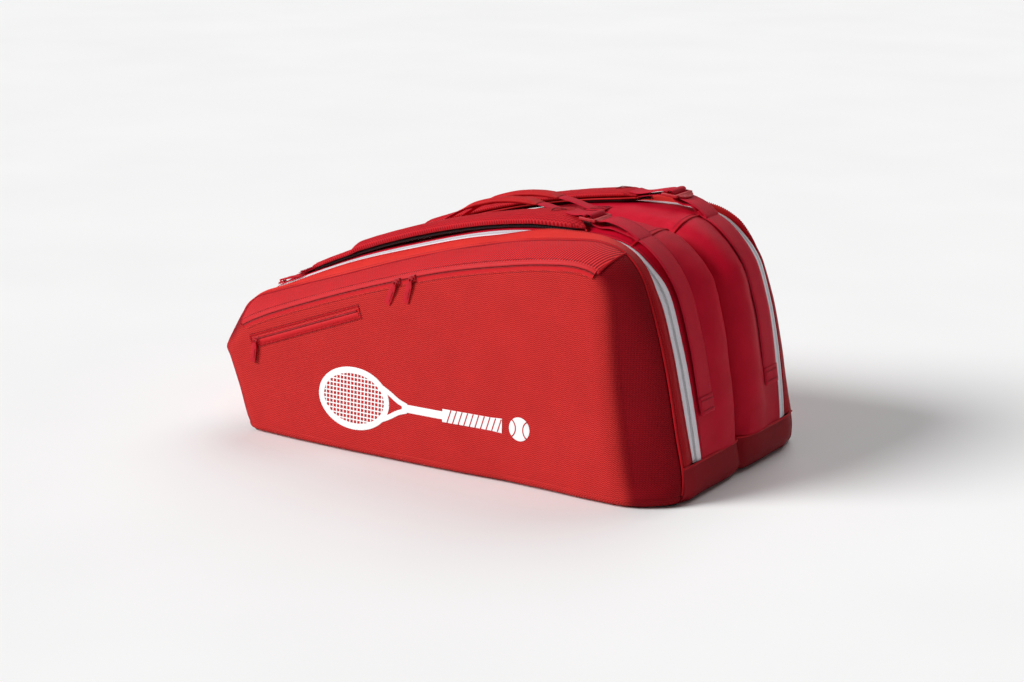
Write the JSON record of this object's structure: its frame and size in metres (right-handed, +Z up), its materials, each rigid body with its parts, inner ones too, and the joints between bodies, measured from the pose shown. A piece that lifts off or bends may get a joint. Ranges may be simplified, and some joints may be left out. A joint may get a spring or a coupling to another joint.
{
  "type": "racket tournament bag",
  "caption": "Tapered racket tournament bag: side-by-side zipped compartments, opening side covers with outer pockets, padded shoulder straps, carry handles and webbing with ladder locks.",
  "frame": {"origin": "centre of the overall box at floor level, under the bag", "axes": "+X from the narrow nose to the wide end, -Y is the front face with the emblem, +Z up; the groove between the two compartments lies on the XZ plane"},
  "size_m": [0.748, 0.4348, 0.3686],
  "materials": {
    "textured_red": "textured weave",
    "smooth_red": "satin coated",
    "base_red": "coated tarpaulin",
    "strap_red": "perforated mesh",
    "black_mesh": "spacer mesh",
    "webbing_red": "ribbed webbing",
    "red_zip": "smooth tape",
    "white_zip": "coated tape",
    "emblem_white": "matte print",
    "lining": "padded lining",
    "red_plastic": "moulded",
    "pull_rubber": "moulded rubber",
    "board": "sheet"
  },
  "bodies": {
    "bag": {"base_boards": "board", "base_panel": "base_red", "center_divider": "lining", "front_end_panel": "smooth_red", "front_lock_loop": "webbing_red", "front_main_zip_inner_tape": "white_zip", "front_nose_panel": "smooth_red", "front_strap_anchor": "webbing_red", "front_strap_cover": "strap_red", "front_strap_mesh": "black_mesh", "front_strap_webbing": "webbing_red", "front_top_panel": "smooth_red", "front_webbing_tail": "webbing_red", "handle_anchors": "webbing_red", "rear_end_panel": "smooth_red", "rear_lock_loop": "webbing_red", "rear_main_zip_inner_tape": "white_zip", "rear_nose_panel": "smooth_red", "rear_strap_anchor": "webbing_red", "rear_strap_cover": "strap_red", "rear_strap_mesh": "black_mesh", "rear_strap_webbing": "webbing_red", "rear_top_panel": "smooth_red", "rear_webbing_tail": "webbing_red", "webbing_anchors": "webbing_red"},
    "front_cover": {"front_cover_band": "smooth_red", "front_cover_wall": "lining", "front_pocket_gusset": "textured_red", "front_main_zip_outer_tape": "white_zip", "front_pocket_zip_upper_tape": "red_zip"},
    "front_pocket_flap": {"front_pocket_face": "textured_red", "front_pocket_zip_lower_tape": "red_zip", "emblem_patch": "emblem_white", "small_pocket_zip": "red_zip", "small_pocket_pouch": "lining"},
    "front_main_slider": {"front_main_slider": "red_plastic"},
    "front_main_slider_pull": {"front_main_slider_pull": "pull_rubber"},
    "rear_cover": {"rear_cover_band": "smooth_red", "rear_cover_wall": "lining", "rear_pocket_gusset": "textured_red", "rear_main_zip_outer_tape": "white_zip", "rear_pocket_zip_upper_tape": "red_zip"},
    "rear_pocket_flap": {"rear_pocket_face": "textured_red", "rear_pocket_zip_lower_tape": "red_zip"},
    "rear_main_slider": {"rear_main_slider": "red_plastic"},
    "rear_main_slider_pull": {"rear_main_slider_pull": "pull_rubber"},
    "front_pocket_slider_left": {"front_pocket_slider_left": "red_plastic"},
    "front_pocket_slider_left_pull": {"front_pocket_slider_left_pull": "pull_rubber"},
    "front_pocket_slider_right": {"front_pocket_slider_right": "red_plastic"},
    "front_pocket_slider_right_pull": {"front_pocket_slider_right_pull": "pull_rubber"},
    "rear_pocket_slider": {"rear_pocket_slider": "red_plastic"},
    "rear_pocket_slider_pull": {"rear_pocket_slider_pull": "pull_rubber"},
    "small_pocket_slider": {"small_pocket_slider": "red_plastic"},
    "small_pocket_slider_pull": {"small_pocket_slider_pull": "pull_rubber"},
    "front_ladder_lock": {"front_ladder_lock": "red_plastic"},
    "front_carry_handle": {"front_carry_handle": "webbing_red"},
    "rear_ladder_lock": {"rear_ladder_lock": "red_plastic"},
    "rear_carry_handle": {"rear_carry_handle": "webbing_red"}
  },
  "joints": [
    {"name": "front_cover_opens", "type": "hinge", "parent": "bag", "child": "front_cover", "pos_m": [0, -0.206, 0.008], "axis": [1, 0, 0], "range_deg": [0, 70]},
    {"name": "front_pocket_opens", "type": "hinge", "parent": "front_cover", "child": "front_pocket_flap", "pos_m": [0, -0.2084, 0.009], "axis": [1, 0, 0], "range_deg": [0, 12]},
    {"name": "front_main_slider_runs", "type": "hinge", "parent": "front_cover", "child": "front_main_slider", "pos_m": [0.29153, -0.125, -1.05854], "axis": [0, 1, 0], "range_deg": [0, 21.6]},
    {"name": "front_main_pull_lifts", "type": "hinge", "parent": "front_main_slider", "child": "front_main_slider_pull", "pos_m": [-0.32445, -0.125, 0.20993], "axis": [0, -1, 0], "range_deg": [0, 160]},
    {"name": "rear_cover_opens", "type": "hinge", "parent": "bag", "child": "rear_cover", "pos_m": [0, 0.206, 0.008], "axis": [-1, 0, 0], "range_deg": [0, 70]},
    {"name": "rear_pocket_opens", "type": "hinge", "parent": "rear_cover", "child": "rear_pocket_flap", "pos_m": [0, 0.2084, 0.009], "axis": [-1, 0, 0], "range_deg": [0, 12]},
    {"name": "rear_main_slider_runs", "type": "hinge", "parent": "rear_cover", "child": "rear_main_slider", "pos_m": [0.29153, 0.125, -1.05854], "axis": [0, 1, 0], "range_deg": [0, 21.6]},
    {"name": "rear_main_pull_lifts", "type": "hinge", "parent": "rear_main_slider", "child": "rear_main_slider_pull", "pos_m": [-0.32445, 0.125, 0.20993], "axis": [0, -1, 0], "range_deg": [0, 160]},
    {"name": "front_pocket_slider_left_runs", "type": "hinge", "parent": "front_pocket_flap", "child": "front_pocket_slider_left", "pos_m": [0.40271, -0.212, -1.43063], "axis": [0, 1, 0], "range_deg": [-9.3, 0]},
    {"name": "front_pocket_slider_left_pull_lifts", "type": "hinge", "parent": "front_pocket_slider_left", "child": "front_pocket_slider_left_pull", "pos_m": [-0.05471, -0.2156, 0.2629], "axis": [-1, 0, 0], "range_deg": [0, 160]},
    {"name": "front_pocket_slider_right_runs", "type": "hinge", "parent": "front_pocket_flap", "child": "front_pocket_slider_right", "pos_m": [0.40271, -0.212, -1.43063], "axis": [0, 1, 0], "range_deg": [0, 8.3]},
    {"name": "front_pocket_slider_right_pull_lifts", "type": "hinge", "parent": "front_pocket_slider_right", "child": "front_pocket_slider_right_pull", "pos_m": [-0.02878, -0.2156, 0.2697], "axis": [-1, 0, 0], "range_deg": [0, 160]},
    {"name": "rear_pocket_slider_runs", "type": "hinge", "parent": "rear_pocket_flap", "child": "rear_pocket_slider", "pos_m": [0.40271, 0.212, -1.43063], "axis": [0, 1, 0], "range_deg": [-12.4, 6]},
    {"name": "rear_pocket_slider_pull_lifts", "type": "hinge", "parent": "rear_pocket_slider", "child": "rear_pocket_slider_pull", "pos_m": [0.04102, 0.2156, 0.2859], "axis": [1, 0, 0], "range_deg": [0, 160]},
    {"name": "small_pocket_slider_runs", "type": "slide", "parent": "front_pocket_flap", "child": "small_pocket_slider", "axis": [0.9391, 0, 0.3437], "range_m": [0, 0.189]},
    {"name": "small_pocket_slider_pull_lifts", "type": "hinge", "parent": "small_pocket_slider", "child": "small_pocket_slider_pull", "pos_m": [-0.30355, -0.2156, 0.14009], "axis": [-1, 0, 0], "range_deg": [0, 160]},
    {"name": "front_ladder_lock_tilts", "type": "hinge", "parent": "bag", "child": "front_ladder_lock", "pos_m": [0.178, -0.0865, 0.358], "axis": [0, -1, 0], "range_deg": [0, 35]},
    {"name": "front_carry_handle_leans", "type": "hinge", "parent": "bag", "child": "front_carry_handle", "pos_m": [-0.118, -0.028, 0.293], "axis": [0.9781, 0, 0.2084], "range_deg": [-12, 12]},
    {"name": "rear_ladder_lock_tilts", "type": "hinge", "parent": "bag", "child": "rear_ladder_lock", "pos_m": [0.208, 0.0865, 0.365], "axis": [0, -1, 0], "range_deg": [0, 35]},
    {"name": "rear_carry_handle_leans", "type": "hinge", "parent": "bag", "child": "rear_carry_handle", "pos_m": [-0.118, 0.028, 0.293], "axis": [0.9781, 0, 0.2084], "range_deg": [-12, 12]}
  ]
}
